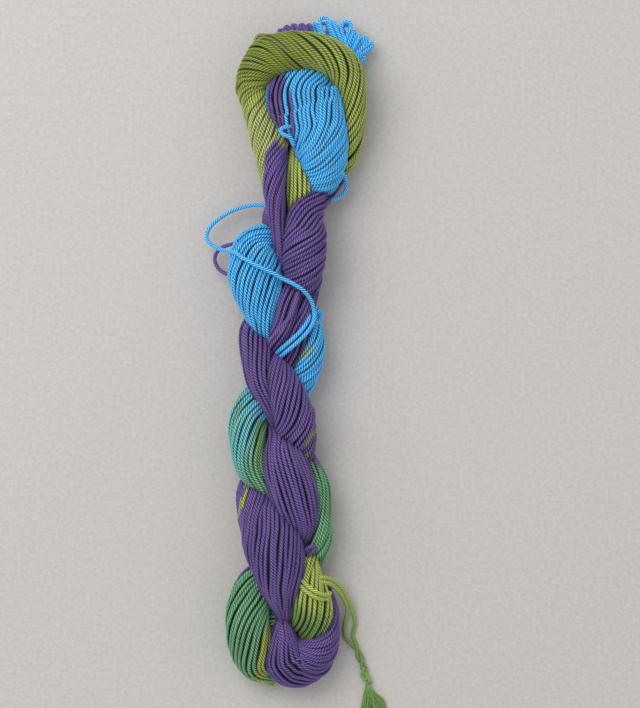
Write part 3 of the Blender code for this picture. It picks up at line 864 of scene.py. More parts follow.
BUNDLES = (
    Bundle(
        "collar",
        (
            (0, 32, 12, 5, 6, 5), (-1.2, 52, 21, 4, 6.5, 3), (-3.6, 72, 25.5, 5, 7.5, 8),
            (-5, 89.5, 25, 6.9, 8.5, 36), (-6.6, 105, 20.5, 9.4, 9, 36),
            (-12.2, 121.5, 18.5, 7.8, 9, 48), (-15, 135, 20.5, 8.4, 10, 64),
            (-7.6, 146.2, 24, 11.2, 11, 64), (5.5, 149.8, 26, 10.6, 10.5, 50),
            (20.5, 148.6, 26, 9.6, 10, 36), (31, 140.8, 24, 9.2, 9.5, 24),
            (34.4, 127, 20.5, 7.8, 9, 22), (33.6, 112, 17, 7.5, 8.5, 24),
            (27, 97.5, 11.5, 9, 8.5, 25), (13.5, 91, 9, 11, 9, 20), (1, 97, 10, 11, 9, 20),
            (-7.5, 109.5, 13, 9.5, 9, 20),
        ),
        Dye.PURPLE,
        (
            DyeChange(3.6, Dye.PALE_LIME, slant=0.55, spread=0.2, bend=0.45),
            DyeChange(4.9, Dye.LIME, spread=1.0),
            DyeChange(5.9, Dye.OLIVE, spread=0.9),
            DyeChange(8.6, Dye.LIME, spread=1.2),
            DyeChange(13.2, Dye.PURPLE),
        ),
        slot="lime_yarn",
    ),
    Bundle(
        "front_blue",
        (
            (17, 144.5, 13.5, 11, 8.5, 8), (10.2, 130.5, 23, 18.2, 11.5, 14),
            (12.6, 121.5, 24, 18.6, 12, 24), (17, 111.5, 24.6, 15.5, 12, 40),
            (19.7, 97, 23, 12.5, 11, 60), (17.5, 85, 17, 10, 10, 60), (11, 73, 11, 9, 9, 45),
            (3, 62, 9, 10, 9, 35), (-5, 55, 11, 9, 8, 30),
        ),
        Dye.BLUE,
        (DyeChange(5.2, Dye.PURPLE),),
        (
            DyePatch(-3, 120, 8.5, 28, 8, Dye.INDIGO, 0.45),
            DyePatch(-3, 118, 8.5, 26, 8, Dye.PURPLE, 0.40),
        ),
        slot="blue_yarn",
        step_share=0.65,
    ),
    Bundle(
        "lime_patch",
        (
            (7, 102, 17, 4, 5, 0), (8, 91, 21.5, 6, 6, 4), (9, 80, 22, 7.5, 6.5, 6),
            (9, 70, 18, 7, 6, 6), (8.5, 60, 13, 6, 6, 6),
        ),
        Dye.FRESH_LIME,
        slot="lime_yarn",
    ),
    Bundle(
        "upper_left",
        (
            (4, 58, 9, 8, 7.5, 5), (-6, 58.5, 13, 8, 8.5, 10), (-14, 52, 18.5, 11.3, 11, 26),
            (-14, 41, 22.5, 13.6, 12, 36), (-12.2, 30.5, 24.5, 12.4, 11.5, 30),
            (-10.3, 20, 23.5, 9, 9.5, 20), (-7.5, 9.5, 19.5, 5.8, 7, 12), (-2, 0, 13, 6, 7, 8),
        ),
        Dye.PURPLE,
        (DyeChange(0.6, Dye.BLUE),),
        slot="blue_yarn",
    ),
    Bundle(
        "upper_right",
        (
            (25.5, 87, 12, 5.5, 6.5, 5), (18, 79, 17, 6.8, 8, 10), (11.8, 69.5, 23, 9, 10.5, 30),
            (11.2, 60, 25, 10.8, 11, 54), (10.5, 50, 25, 11.3, 11.5, 64),
            (9.8, 38, 22, 10, 10.5, 58), (5.8, 26, 14, 9.6, 9.5, 38), (-0.5, 17, 9, 12, 9.5, 25),
            (-9.5, 12, 11, 11, 9, 20),
        ),
        Dye.PURPLE,
    ),
    Bundle(
        "right_crescent",
        (
            (8, 27, 12, 7, 7, 18), (14, 12, 15.5, 6.3, 8, 24), (13, -1, 16.5, 7.8, 9, 34),
            (8, -14, 13.5, 8, 9, 38), (0, -23, 9.2, 12, 9.5, 35), (-9.5, -28, 11, 11, 9, 30),
        ),
        Dye.PURPLE,
        (DyeChange(0.5, Dye.BLUE, slant=-0.5), DyeChange(4.2, Dye.TEAL)),
        (DyePatch(9.6, -1.5, 1.3, 9, -44, Dye.PALE_GREEN),),
        slot="blue_yarn",
    ),
    Bundle(
        "inner_left",
        (
            (7.5, 37, 19, 5, 6, 5), (3, 25.5, 26, 6.5, 7, 5), (0, 14.5, 26, 6, 7, 5),
            (-5.5, 4.5, 20, 4, 6, 5),
        ),
        Dye.PURPLE,
    ),
    Bundle(
        "inner_right",
        (
            (12.5, 34.5, 17, 6, 7, 10), (10, 23, 21.5, 6.5, 7.5, 12), (6.5, 11, 21.5, 7.5, 7, 14),
            (5.5, 0, 17, 8.5, 7, 18), (3.5, -12, 12, 8, 7, 18),
        ),
        Dye.PURPLE,
    ),
    Bundle(
        "middle_left",
        (
            (-4, 21, 10, 8, 8, 10), (-13.5, 13, 16, 8, 9, 12), (-13, 1, 21, 8.3, 9.5, 10),
            (-11, -12, 23, 7.8, 9, 8), (-5.4, -24, 22.5, 6.3, 8, 5), (0.3, -35, 20, 6, 7.5, 5),
            (5, -45, 14, 6.5, 7, 5),
        ),
        Dye.PURPLE,
    ),
    Bundle(
        "middle_right",
        (
            (-10, 5, 13, 6, 6, 25), (-6, -5.5, 19.5, 8, 8, 36), (-0.5, -15.5, 24.5, 9.4, 9.6, 41),
            (4.3, -27, 26.5, 10.2, 10.5, 43), (7, -38.5, 23, 10.2, 10, 54),
            (7.8, -49, 16, 8.2, 9, 45), (1.5, -60, 9.2, 11.5, 9.5, 35),
            (-8.5, -67, 11, 11, 9, 30),
        ),
        Dye.PURPLE,
        (),
        (
            DyePatch(13.8, -40.5, 1.0, 5.4, -32, Dye.OLIVE),
            DyePatch(10.7, -50.8, 1.0, 2.8, -50, Dye.OLIVE),
        ),
    ),
    Bundle(
        "teal_crescent",
        (
            (3.5, -20.5, 9, 8, 8, 10), (-9, -20.5, 12, 8.5, 8.5, 10),
            (-16.5, -30.5, 17, 10, 10.5, 18), (-17.5, -44, 20.5, 9.5, 11, 21),
            (-15, -57, 21.5, 8, 9.5, 18), (-7.8, -67, 19.5, 6.5, 8, 14),
            (-1, -75.5, 14, 6, 7, 10),
        ),
        Dye.BLUE,
        (
            DyeChange(1.7, Dye.TEAL, slant=0.6, spread=1.0),
            DyeChange(3.4, Dye.EMERALD, slant=-0.7, spread=1.2),
        ),
        (
            DyePatch(-9, -48, 5.0, 15, 6, Dye.FERN, 0.75),
            DyePatch(-22.5, -38, 2.6, 16, -6, Dye.EMERALD, 0.6),
        ),
        slot="green_yarn",
    ),
    Bundle(
        "lower_middle",
        (
            (-4, -34.5, 14, 4, 5, -2), (-1.4, -42, 20, 6.6, 7.5, -2),
            (0, -50, 24.5, 9.8, 9.8, -1), (2.2, -59, 26.5, 12, 11, 0),
            (6.4, -73, 25.5, 11.8, 11, 2), (9.8, -85, 20, 8.2, 9.5, 8), (8, -95, 12, 5.6, 7, 15),
            (4, -103, 10, 6, 7, 20),
        ),
        Dye.PURPLE,
    ),
    Bundle(
        "emerald_crescent",
        (
            (8.5, -49, 11, 6, 7, 5), (16.5, -64, 15.5, 6.5, 8, 8), (18.5, -77, 17, 6.5, 9, 12),
            (18.5, -89, 16.5, 6.5, 9, 20), (15, -101, 12.5, 6.5, 8, 30),
            (4, -107, 9.2, 12, 9.5, 30), (-8, -113, 11, 10.5, 9, 30),
        ),
        Dye.PURPLE,
        (DyeChange(0.6, Dye.EMERALD),),
        slot="green_yarn",
    ),
    Bundle(
        "lower_front",
        (
            (-1.5, -57, 9, 8, 8, 8), (-13.5, -65.5, 14.5, 8.5, 9, 14),
            (-12.3, -77, 20, 11, 11, 34), (-6.2, -90, 23.8, 14.8, 11.6, 28),
            (-2.4, -104, 26, 14, 11, 15), (-1, -118, 24, 9.5, 9, 6), (0.5, -130, 18, 4.5, 6, 3),
            (3.5, -141, 10, 6, 6, 0),
        ),
        Dye.PURPLE,
        (),
        (DyePatch(-19.6, -73, 0.8, 10, -15, Dye.LIME),),
    ),
    Bundle(
        "fold_left",
        (
            (1, -110.5, 8.5, 8, 7.5, 5), (-12.5, -113, 12.5, 8.5, 9, 8),
            (-17, -124.5, 17.5, 11, 11.5, 30), (-17, -139, 18.5, 11.5, 12, 32),
            (-13, -152, 13.5, 11, 10.5, 34), (-6.5, -156, 9, 9, 8, 28),
            (3, -155, 8.5, 8, 7.5, 20),
        ),
        Dye.PURPLE,
        (DyeChange(0.9, Dye.EMERALD, slant=-0.3),),
        (DyePatch(-7.6, -147, 4.0, 22, -14, Dye.LIME),),
        slot="green_yarn",
    ),
    Bundle(
        "fold_sweep",
        (
            (0.4, -130.5, 16.5, 3, 4, 0), (0, -137, 18.5, 5.2, 7.5, -8),
            (0, -143.8, 18.5, 8.2, 10.5, -4), (1, -151, 16.4, 12, 13, 26),
            (6.2, -154.2, 14, 12.6, 13.2, 52), (12.8, -152.4, 12.8, 12, 12.4, 52),
            (18.3, -147.6, 12, 9.6, 11.2, 42), (22, -142, 11.5, 7, 10, 28),
            (24.2, -136.6, 11, 4.7, 9, 18), (25.5, -131, 10.5, 3, 8.2, 10),
            (25.1, -125, 9.5, 2, 6, 5), (23.6, -119.5, 8.5, 1.6, 5, 0),
        ),
        Dye.PURPLE,
        step_share=0.6,
    ),
    Bundle(
        "tied_patch",
        (
            (14.5, -97, 12, 5, 6, 0), (12.5, -107, 17.5, 6.5, 7.5, 4),
            (12.6, -119.5, 20, 10.6, 9, 16), (14.2, -130, 18, 11.2, 9, 26),
            (14, -139.5, 10, 8, 7.5, 28),
        ),
        Dye.FRESH_LIME,
        (DyeChange(2.6, Dye.GREEN, slant=0.6, spread=0.9),),
        slot="lime_yarn",
    ),
)

BACK_ROWS = (
    (11, 12, 15, 6, 7.5, 20), (6, 5, 10.6, 9, 9, 32), (-2, -2, 9.5, 10, 9.2, 35),
    (-9, -9, 12, 8, 9, 32), (-11, -15, 16, 5, 7, 20),
)


class Crossing(NamedTuple):
    """A bundle that shows only from below: where its middle is, and its dye."""

    across: float
    along: float
    dye: Dye


BACK_CROSSINGS = (
    Crossing(6, 78, Dye.PURPLE), Crossing(0, 38, Dye.PURPLE), Crossing(0, -3, Dye.BLUE),
    Crossing(0, -43, Dye.PURPLE), Crossing(0, -85, Dye.PURPLE), Crossing(0, -131, Dye.EMERALD),
)


@dataclass
class Hank:
    """All of the bundles.

    Attributes:
        bundles: The bundles.
        buried: How deep inside another bundle a strand is left out, in metres.
        crease_shade: How much painted shade darkens a strand in the creases between the bundles.
        crease_shade_depth: Over how much depth the painted shade darkens it, in metres.
        crease_shade_early: How much of that depth lies outside the other bundle.
        core_inset: How far in the dark tube under the strands lies, in diameters.
        core_shade_tone: How bright its dyes are; the darkening is painted shade.
        core_sides: How many corners it has round it.
    """

    bundles: tuple[Bundle, ...]
    buried: float = 2.6 * MM
    # Painted shade in the creases between the bundles.
    crease_shade: float = 0.80
    crease_shade_depth: float = 2.8 * MM
    crease_shade_early: float = 0.36
    core_inset: float = 0.95
    # The tube's dyes are darkened to painted shade.
    core_shade_tone: float = 0.12
    core_sides: int = 20

    def hulls(self) -> dict[str, Hull]:
        """The bundles' tubes at coarse steps, by name."""
        return {bundle.name: bundle.hull(2.0 * MM, follow_strands=False) for bundle in self.bundles}

    def depths(self, name: str, threads: Threads, hulls: dict[str, Hull]) -> np.ndarray:
        """Finds how deep each ring's middle is in the other bundles.

        Args:
            name: The strands' own bundle.
            threads: The strands.
            hulls: Every bundle's tube.

        Returns:
            The depths in metres, strands by rings, negative outside.
        """
        points = threads.paths.reshape(-1, 3)
        depth = np.full(len(points), -1.0)
        for other, hull in hulls.items():
            if other != name:
                depth = np.maximum(depth, hull.depth(points))
        return depth.reshape(threads.keep.shape)

    def in_sight(self, depth: np.ndarray, threads: Threads) -> np.ndarray:
        """Finds the rings that aren't buried in another bundle, and two more at each end.

        Args:
            depth: How deep each ring's middle is in the other bundles.
            threads: The strands.

        Returns:
            True for each ring to keep.
        """
        rings = depth.shape[1]
        seen = np.pad(depth < self.buried, ((0, 0), (2, 2)))
        near = np.any([seen[:, shift:shift + rings] for shift in range(5)], axis=0)
        return near & threads.keep

    def sleeve(self, bundle: Bundle, hull: Hull) -> tuple[np.ndarray, np.ndarray]:
        """Makes the yarn under a bundle's strands, darkened to painted shade, as a closed tube at
        every fourth ring.

        Args:
            bundle: The bundle.
            hull: Its tube.

        Returns:
            The tube's corners and their colours, rings by corners by 3.
        """
        rings, sides = len(hull.middle), self.core_sides
        pick = np.unique(np.linspace(0, rings - 1, max(rings // 4, 6)).astype(int))
        angle = 2 * math.pi * np.arange(sides) / sides
        inset = self.core_inset * YARN.diameter
        width = np.maximum(hull.half_width[pick] - inset, 0.3 * MM)[:, None, None]
        height = np.maximum(hull.half_height[pick] - inset, 0.3 * MM)[:, None, None]
        level, upright = np.cos(angle)[None, :, None], np.sin(angle)[None, :, None]
        corners = hull.middle[pick][:, None] + width * level * hull.side[pick][:, None]
        corners = corners - height * upright * hull.top[pick][:, None]
        corners[..., 2] = np.maximum(corners[..., 2], 0.6 * YARN.diameter)
        part = replace(hull, rows_at=hull.rows_at[pick])
        share = np.cos(angle)[:, None] * np.sign(hull.side[pick, 0])
        even_luck = np.full((sides, 4), 0.5)
        colours = bundle.colours(part, corners.transpose(1, 0, 2), share, even_luck)
        # The dyes are darkened to painted shade.
        return corners, self.core_shade_tone * colours.transpose(1, 0, 2)

    def build(self) -> None:
        """Makes every bundle's piece, all standing for the hank's solid."""
        hulls = self.hulls()
        for place, bundle in enumerate(self.bundles):
            chance = np.random.default_rng((SEED, place))
            hull, threads = bundle.threads(chance)
            depth = self.depths(bundle.name, threads, hulls)
            threads.keep = self.in_sight(depth, threads)
            # Painted shade: a strand darkens in the creases, where it goes into another bundle.
            painted_crease_shade = smoothstep(depth / self.crease_shade_depth + self.crease_shade_early)
            threads.colours = threads.colours * (1.0 - self.crease_shade * painted_crease_shade)[..., None]
            count = len(threads.paths)
            skin = Skin()
            skin.strands(threads, 6.3 * chance.random(count), count + 1)
            skin.sleeve(*self.sleeve(bundle, hull), count + 1, count)
            skin.piece("strands_" + bundle.name, bundle.slot, "hank")


def back_bundles() -> tuple[Bundle, ...]:
    """Makes the bundles that cross behind the others, all alike."""
    return tuple(
        Bundle(
            f"back_{number}",
            tuple((x + crossing.across, y + crossing.along, *rest) for x, y, *rest in BACK_ROWS),
            crossing.dye,
            slot=SLOTS[crossing.dye],
            step_share=1.5,
        )
        for number, crossing in enumerate(BACK_CROSSINGS, start=1)
    )


@dataclass
class LooseStrand:
    """One strand of yarn along a route of its own.

    Attributes:
        name: The piece's name.
        route: The places of the middle of the yarn.
        dyes: The dye at the start and, where it is another, at the end.
        node: The solid that it stands for.
    """

    name: str
    route: tuple[Place, ...]
    dyes: tuple[Dye, ...]
    node: str = "hank"

    def path(self) -> np.ndarray:
        """Reads the route at the yarn's steps, in metres."""
        table = np.array(self.route, dtype=float) + SHIFT
        return through(table, even_steps(table, YARN.ring_step / MM)) * MM

    def threads(self) -> Threads:
        """Makes the one strand, whose plies are counted from its upper side."""
        path = self.path()
        count = len(path)
        share = smoothstep(np.linspace(0.0, 1.0, count))[:, None]
        colours = self.dyes[0].colour * (1 - share) + self.dyes[-1].colour * share
        outward = np.broadcast_to(UP, path.shape)
        keep, radius = np.ones((1, count), bool), np.full((1, count), YARN.diameter / 2)
        return Threads(path[None], outward[None], colours[None], keep, radius)

    def build(self) -> bpy.types.Object:
        """Makes the piece and gives it back."""
        skin = Skin()
        skin.strands(self.threads(), np.zeros(1), 1)
        return skin.piece(self.name, SLOTS[self.dyes[-1]], self.node)

    def build_cord(self, far_end: str, others: tuple = ()) -> None:
        """Makes the piece, a strand as long as the sum of its route's steps.

        Args:
            far_end: What its far end is. It is not used.
            others: The pieces on it. It is not used.
        """
        path = self.path()
        self.build()


SLACK_LOOPS = (
    LooseStrand(
        "slack_yarn_blue",
        (
            (-7, 74.3, 12), (-17, 74.3, 8.5), (-27, 71, 7.5), (-35.5, 64.8, 8.5),
            (-38.3, 59, 10.5), (-36, 54.8, 14), (-30.5, 51.8, 20), (-24.5, 50.4, 28),
            (-19.5, 47.3, 33), (-13, 43.7, 35.6), (-5.7, 40.3, 35.2), (0.5, 37, 34.2),
            (6, 34.2, 34), (10.5, 31.2, 32.5), (14, 26.5, 29), (15.6, 20.5, 26.6),
            (14.8, 15.2, 27), (11, 9.5, 29), (5.8, 4.5, 29), (1.2, 0.6, 26.6), (-1.6, -1.8, 22),
        ),
        (Dye.BLUE,), "slack_loop_blue",
    ),
    LooseStrand(
        "slack_yarn_purple",
        (
            (-22, 55.2, 12), (-27, 54.6, 11), (-31, 53, 9.5), (-33.6, 50.2, 8),
            (-34.2, 46.8, 7.5), (-32.6, 43, 8), (-29.4, 40.6, 10), (-24.5, 38.6, 13),
        ),
        (Dye.PURPLE,), "slack_loop_purple",
    ),
    LooseStrand(
        "slack_yarn_right",
        (
            (26, 92.5, 24), (29.6, 90, 19.5), (31.6, 86.4, 15.5), (31.2, 82, 13),
            (28.8, 78.8, 12.5), (25.4, 77.4, 14), (21, 79, 19), (17.5, 81, 24),
        ),
        (Dye.BLUE,), "slack_loop_right",
    ),
    LooseStrand(
        "slack_yarn_inner",
        (
            (13.4, 23, 22), (13.2, 19.6, 25.4), (12.4, 16.4, 27.6), (8.9, 11.4, 29.8),
            (4.0, 6.6, 29.6), (-0.4, 2.8, 27), (-3, 0.4, 22.5),
        ),
        (Dye.BLUE,), "slack_loop_inner",
    ),
)
TIE = LooseStrand(
    "tie_yarn",
    (
        (6, -113.2, 22), (9, -115, 26.6), (12, -117.4, 29.8), (16, -120, 30), (20, -121.4, 26.8),
        (22.6, -120.8, 22.4),
    ),
    (Dye.FRESH_LIME,), "tie",
)
TIE_BESIDE = replace(
    TIE, name="tie_yarn_beside", route=tuple((x + 1.1, y + 2.2, z + 0.3) for x, y, z in TIE.route)
)
TAILS = (
    LooseStrand(
        "tail_yarn_left",
        (
            (18.5, -113.4, 22), (21.2, -113.6, 20.2), (24.3, -115.2, 16.4), (27.6, -118.4, 12),
            (30.4, -122.8, 8), (32.1, -127.6, 5.2), (31.8, -131.5, 3.4), (31, -136, 2),
            (30.8, -140.4, 1.5), (32, -143.8, 1.7), (34.6, -146.4, 2.2), (37.2, -149, 1.2),
            (39.3, -151.8, 2.2), (39.5, -155.4, 3.2), (39.7, -158.8, 2.2),
        ),
        (Dye.FRESH_LIME, Dye.GREEN), "tail_left",
    ),
    LooseStrand(
        "tail_yarn_right",
        (
            (18.6, -111, 21.6), (22, -111.4, 18.8), (25.4, -113.1, 14.8), (29, -116.6, 10.8),
            (31.9, -121.3, 7.6), (34.2, -127, 5.2), (35.6, -132.4, 3.4), (35.9, -136.4, 2.2),
            (35.1, -140.2, 1.6), (35.1, -143, 1.8), (36.6, -145.6, 2.2), (37.2, -149, 3.2),
            (37.4, -152.6, 2.2), (39.5, -155.4, 1.2), (41.6, -158, 2.2),
        ),
        (Dye.FRESH_LIME, Dye.GREEN), "tail_right",
    ),
)


class TuftLoop(NamedTuple):
    """A loop end of the tuft: its tip, the way it points and how wide it is open."""

    across: float
    along: float
    height: float
    turn: float
    width: float
    dye: Dye


TUFT_LOOPS = (
    TuftLoop(-1.6, 162, 11, 122, 2.05, Dye.PURPLE),
    TuftLoop(1.5, 163.6, 12, 118, 2.05, Dye.PURPLE),
    TuftLoop(5, 164.3, 13, 116, 2.05, Dye.INDIGO),
    TuftLoop(9, 164.6, 12, 112, 2.05, Dye.PURPLE),
    TuftLoop(12.6, 164.3, 13, 108, 2.05, Dye.INDIGO),
    TuftLoop(15.4, 165, 12, 112, 2.2, Dye.BLUE),
    TuftLoop(20, 168.2, 11, 104, 4.4, Dye.BLUE),
    TuftLoop(24, 166, 13, 112, 2.1, Dye.BLUE),
    TuftLoop(27.6, 163.8, 12, 105, 2.1, Dye.BLUE),
    TuftLoop(32.2, 166.4, 10, 78, 4.8, Dye.BLUE),
    TuftLoop(34.6, 162, 12, 66, 2.1, Dye.BLUE),
    TuftLoop(37.6, 159.6, 11, 62, 2.05, Dye.BLUE),
    TuftLoop(41.8, 158.4, 9, 55, 2.05, Dye.BLUE),
    TuftLoop(44.6, 155.2, 9, 36, 2.05, Dye.BLUE),
    TuftLoop(40.4, 148.8, 10, 40, 2.05, Dye.BLUE),
)


@dataclass
class Tuft:
    """The ring's loop ends, which stand out from behind the collar.

    Attributes:
        loops: The loops on top.
        reach: How far a loop goes back under the collar, in millimetres.
        layers: How many loops lie one under another.
        drop: How much lower each layer lies, in millimetres.
        fan: How far it may be turned from the one above, in degrees.
        setback: How much further in it lies, in millimetres.
        lowest: The least height of a loop's middle line, in millimetres.
    """

    loops: tuple[TuftLoop, ...] = TUFT_LOOPS
    reach: float = 20.0
    layers: int = 3
    drop: float = 3.1
    fan: float = 7.0
    setback: float = 1.6
    lowest: float = 1.3

    def route(self, loop: TuftLoop, layer: int, luck: np.ndarray) -> tuple[Place, ...]:
        """Draws a loop: out along one leg, half a circle round the tip, and back.

        Args:
            loop: The loop on top.
            layer: How many loops down this one is.
            luck: Four random numbers from -1 to 1.

        Returns:
            The route.
        """
        turn = math.radians(loop.turn + layer * self.fan * luck[0])
        half = loop.width / 2 * (1.0 if layer == 0 else 0.8)
        back = layer * (self.setback + luck[1])
        level = max(loop.height - self.drop * layer, self.lowest + 0.3)
        legs = ((-self.reach, -0.9), (-0.5 * self.reach, -1.0), (-1.6 * half, -1.0))
        bend = np.radians((30, 70, 110, 150))
        tip = tuple((half * math.sin(angle) - half, -math.cos(angle)) for angle in bend)
        shape = legs + tip + tuple((u, -v) for u, v in legs[::-1])
        places = []
        for number, (u, v) in enumerate(shape):
            out, aside = u - back, v * half + layer * 1.3 * luck[2]
            lift = 0.22 * abs(u) * (1 if layer == 0 else 0.4)
            lift += 0.5 * luck[3] * (number / len(shape) - 0.5)
            places.append((
                loop.across + out * math.cos(turn) - aside * math.sin(turn),
                loop.along + out * math.sin(turn) + aside * math.cos(turn),
                max(level + min(lift, 3.0), self.lowest),
            ))
        return tuple(places)

    def build(self) -> None:
        """Makes the loops as one piece."""
        chance = np.random.default_rng((SEED, 101))
        skin, rows = Skin(), self.layers * len(self.loops)
        for number, loop in enumerate(self.loops):
            for layer in range(self.layers):
                route = self.route(loop, layer, chance.uniform(-1, 1, 4))
                strand = LooseStrand("loop", route, (loop.dye,))
                threads = strand.threads()
                threads.colours = threads.colours * (1.0 + 0.1 * chance.uniform(-1, 1))
                row = number * self.layers + layer
                skin.strands(threads, 6.3 * chance.random(1), rows, row)
        skin.piece("tuft_loops", "blue_yarn", "hank")


STRAY_LOOPS = (
    LooseStrand(
        "stray_crossing",
        (
            (7.6, 30.5, 32), (6.4, 26, 33.6), (4.4, 19.6, 33.4), (0.4, 14.4, 31.8), (-4, 9.4, 29),
            (-7.8, 6, 24),
        ),
        (Dye.PURPLE,),
    ),
    LooseStrand(
        "stray_collar_top",
        (
            (-9, 144, 24), (-13.6, 150.5, 23), (-13, 157, 22), (-9.6, 158.2, 23),
            (-5.5, 155.5, 27), (0, 150, 31),
        ),
        (Dye.OLIVE,),
    ),
    LooseStrand(
        "stray_collar_left",
        (
            (-19, 137, 27), (-22, 134.5, 23), (-22.6, 131, 20), (-21.2, 128.3, 18),
            (-18, 127, 20),
        ),
        (Dye.OLIVE,),
    ),
    LooseStrand(
        "stray_front",
        (
            (5.5, 112.5, 30), (1, 111.8, 33), (-1.2, 110.2, 33.4), (0.6, 108.2, 33.2),
            (4, 106.6, 32.6), (5.6, 103, 30),
        ),
        (Dye.BLUE,),
    ),
    LooseStrand(
        "stray_right",
        (
            (15.5, 16.5, 20), (16, 20, 20), (17.8, 21.8, 19.4), (19.2, 20.6, 18.8),
            (18.8, 18, 18.6), (17, 15, 19),
        ),
        (Dye.BLUE,),
    ),
    LooseStrand(
        "stray_lower",
        (
            (10.5, -98, 23), (13.4, -95.8, 25), (15.8, -95.4, 24.2), (15, -97.8, 23.6),
            (12.2, -100.6, 21),
        ),
        (Dye.PURPLE,),
    ),
    LooseStrand(
        "stray_middle",
        (
            (-15, 8, 22), (-18.6, 11.5, 19), (-18.4, 15, 17), (-15.5, 16.8, 17), (-12, 16, 18),
        ),
        (Dye.PURPLE,),
    ),
    LooseStrand(
        "stray_fold",
        ((-8.5, -160, 6), (-6.8, -165.4, 4), (-5.4, -166.2, 3.4), (-4.2, -164, 4)),
        (Dye.LIME,),
    ),
)


@dataclass
class Knot:
    """The overhand knot that joins the two tails.

    Attributes:
        middle: Its middle.
        half_width: Half its width between the strands' middles, in millimetres.
        half_length: Half its length between the strands' middles, in millimetres.
        half_height: Half its height between the strands' middles, in millimetres.
        turn: How it is turned, in degrees.
        tightness: How much thinner the yarn is pulled in it.
    """

    middle: Place = (41.4, -161.9, 2.7)
    half_width: float = 1.75
    half_length: float = 4.2
    half_height: float = 0.75
    turn: float = -68.0
    tightness: float = 0.78

    def route(self, phase: float) -> tuple[Place, ...]:
        """Draws a strand of the knot, a trefoil.

        Along it is a third of the sine plus twice the double sine, across it a third of the
        cosine less twice the double cosine, and its height falls with the triple sine.

        Args:
            phase: Where on it the strand starts.

        Returns:
            The route.
        """
        t = np.linspace(0.0, 2 * math.pi, 25)[:-1] + phase
        u = (np.sin(t) + 2 * np.sin(2 * t)) / 3
        v = (np.cos(t) - 2 * np.cos(2 * t)) / 3
        turn = math.radians(self.turn)
        u, v = self.half_length * u, self.half_width * v
        x = self.middle[0] + u * math.cos(turn) - v * math.sin(turn)
        y = self.middle[1] + u * math.sin(turn) + v * math.cos(turn)
        z = self.middle[2] - self.half_height * np.sin(3 * t)
        return tuple(zip(x, y, z))

    def build(self) -> bpy.types.Object:
        """Makes the knot of two strands and gives it back."""
        skin = Skin()
        for number, phase in enumerate((0.0, math.pi / 3)):
            strand = LooseStrand("knot", self.route(phase), (Dye.GREEN,))
            threads = strand.threads()
            threads.radius = threads.radius * self.tightness
            skin.strands(threads, np.zeros(1), 2, number)
        return skin.piece("tail_knot_yarn", "green_yarn", "tail_knot")


@dataclass
class Tassel:
    """The frayed ends of the tails, opened into their fibres.

    Attributes:
        root: Where the ends leave the knot.
        tip: The middle of their far ends.
        half_width: How far they spread at the tip, in millimetres.
        threads: How many plies and fibre bundles there are.
    """

    root: Place = (42.3, -166.2, 2.7)
    tip: Place = (46.9, -183.5, 1.5)
    half_width: float = 5.9
    threads: int = 54

    def build(self) -> bpy.types.Object:
        """Makes the ends as one piece, each a thin wavy strand.

        A strand goes from the root to its own place at the tip, with a sine across it that grows
        towards the tip.

        Returns:
            The piece.
        """
        chance = np.random.default_rng((SEED, 202))
        count, rings = self.threads, 30
        t = np.linspace(0.0, 1.0, rings)[None]
        luck = chance.uniform(-1, 1, (count, 6))
        place = (np.linspace(-1, 1, count) + 0.15 * luck[:, 0])[:, None]
        root, tip = np.array(self.root) + SHIFT, np.array(self.tip) + SHIFT
        run = unit(tip - root)
        aside = np.array((-run[1], run[0], 0.0))
        reach = np.linalg.norm(tip - root) * (0.86 + 0.14 * luck[:, 1:2])
        wave = np.sin(t * (7 + 2 * luck[:, 2:3]) + 3 * luck[:, 3:4])
        swing = self.half_width * place * smoothstep(0.15 + 0.85 * t) + 0.7 * t * wave
        height = 1.4 + luck[:, 4:5] * (1 - 0.4 * t) + 0.9 * (1 - t)
        paths = root * (1, 1, 0) + (t * reach)[..., None] * run * (1, 1, 0)
        paths = paths + swing[..., None] * aside
        paths[..., 2] = np.maximum(height, 0.7)
        radius = (0.46 - 0.10 * luck[:, 5:6]) * (1.0 - 0.35 * t) * MM
        tone = 1.0 + 0.15 * luck[:, 2, None, None]
        colours = np.broadcast_to(Dye.GREEN.colour, (count, rings, 3)) * tone
        outward = np.broadcast_to(UP, paths.shape)
        skin = Skin()
        threads = Threads(paths * MM, outward, colours, np.ones((count, rings), bool), radius)
        skin.strands(threads, 3 * luck[:, 0], count)
        return skin.piece("tail_tassel_yarn", "green_yarn", "tail_tassel")


@dataclass(frozen=True)
class Cloth:
    """The pale cloth under the hank, a backdrop that is no part of it.

    Attributes:
        colour: Its linear colour.
        half_size: Half its size, in metres.
    """

    colour: tuple[float, float, float] = (0.590, 0.568, 0.552)
    half_size: float = 1.6

    def build(self) -> bpy.types.Object:
        """Makes the cloth's flat sheet and its felted material.

        Returns:
            The sheet.
        """
        h = self.half_size
        mesh = bpy.data.meshes.new("cloth")
        mesh.from_pydata([(-h, -h, 0), (h, -h, 0), (h, h, 0), (-h, h, 0)], [], [(0, 1, 2, 3)])
        made, grain, tint = grained(
            "pale_felt",
            {"Roughness": 0.95, "Specular IOR Level": 0.1},
            {"Scale": 520.0, "Detail": 3.0, "Roughness": 0.75},
            {"From Min": 0.25, "From Max": 0.75, "To Min": 0.88, "To Max": 1.12},
            {"Strength": 0.35, "Distance": 0.3 * MM},
        )
        tint.inputs["A"].default_value = (*self.colour, 1.0)
        place = add_node(made.node_tree, "TexCoord", {})
        made.node_tree.links.new(place.outputs["Object"], grain.inputs["Vector"])
        mesh.materials.append(made)
        sheet = bpy.data.objects.new("cloth", mesh)
        bpy.context.scene.collection.objects.link(sheet)
        return sheet


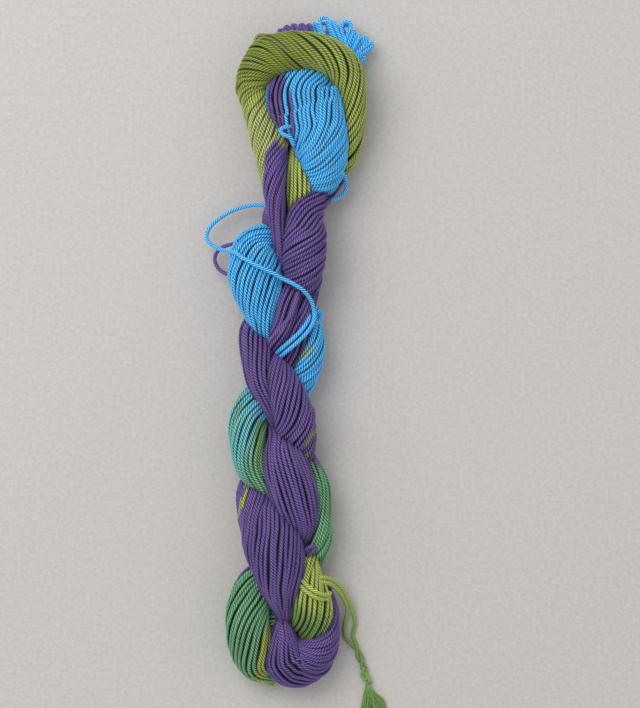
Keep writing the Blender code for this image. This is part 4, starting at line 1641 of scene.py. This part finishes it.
@dataclass(frozen=True)
class Studio:
    """The camera straight above the hank, and soft light from its upper left.

    Attributes:
        middle: The point in the middle of the picture, in metres.
        seen_height: The height of what it shows at the hank, in metres.
        distance: How far above the hank the camera is, in metres.
        light_place: Where the soft box is, in metres.
        light_size: Its side, in metres.
        light_power: Its power, in watts.
        light_colour: Its linear colour.
        sky: The brightness of the room.
    """

    middle: tuple[float, float, float] = (10.4 * MM, -1.1 * MM, 12 * MM)
    seen_height: float = 0.354
    distance: float = 1.5
    light_place: tuple[float, float, float] = (-0.55, 0.60, 1.20)
    light_size: float = 1.0
    light_power: float = 11.0
    light_colour: tuple[float, float, float] = (1.0, 0.985, 0.965)
    sky: float = 0.63

    def build(self) -> None:
        """Makes the camera, the soft box and the room's light."""
        scene = bpy.context.scene
        lens = bpy.data.cameras.new("camera")
        lens.sensor_width = 36.0
        lens.lens = 36.0 * self.distance / self.seen_height
        lens.clip_start, lens.clip_end = 0.05, 10.0
        camera = bpy.data.objects.new("camera", lens)
        camera.location = (self.middle[0], self.middle[1], self.middle[2] + self.distance)
        scene.collection.objects.link(camera)
        scene.camera = camera

        box = bpy.data.lights.new("soft_box", "AREA")
        box.size = self.light_size
        box.energy = self.light_power
        box.color = self.light_colour
        lamp = bpy.data.objects.new("soft_box", box)
        lamp.location = self.light_place
        aim = math.atan2(math.hypot(*self.light_place[:2]), self.light_place[2])
        lamp.rotation_euler = (aim, 0.0, math.atan2(self.light_place[0], -self.light_place[1]))
        scene.collection.objects.link(lamp)

        room = bpy.data.worlds.new("room")
        room.use_nodes = True
        background = room.node_tree.nodes["Background"]
        background.inputs["Color"].default_value = (1.0, 1.0, 1.0, 1.0)
        background.inputs["Strength"].default_value = self.sky
        scene.world = room
        scene.view_settings.view_transform = "Standard"


def main() -> None:
    """Builds the studio, the hank and its loose yarn."""
    logging.basicConfig(level=logging.INFO, format="%(message)s")
    Studio().build()
    Cloth().build()

    for loop in SLACK_LOOPS:
        loop.build_cord("object")
    for strand in (TIE, TIE_BESIDE):
        strand.build()
    knot, tassel = Knot().build(), Tassel().build()
    for tail, others in zip(TAILS, ((knot, tassel), ())):
        tail.build_cord("knot", others)
    for stray in STRAY_LOOPS:
        stray.build()
    Tuft().build()
    Hank(BUNDLES + back_bundles()).build()


if __name__ == "__main__":
    main()
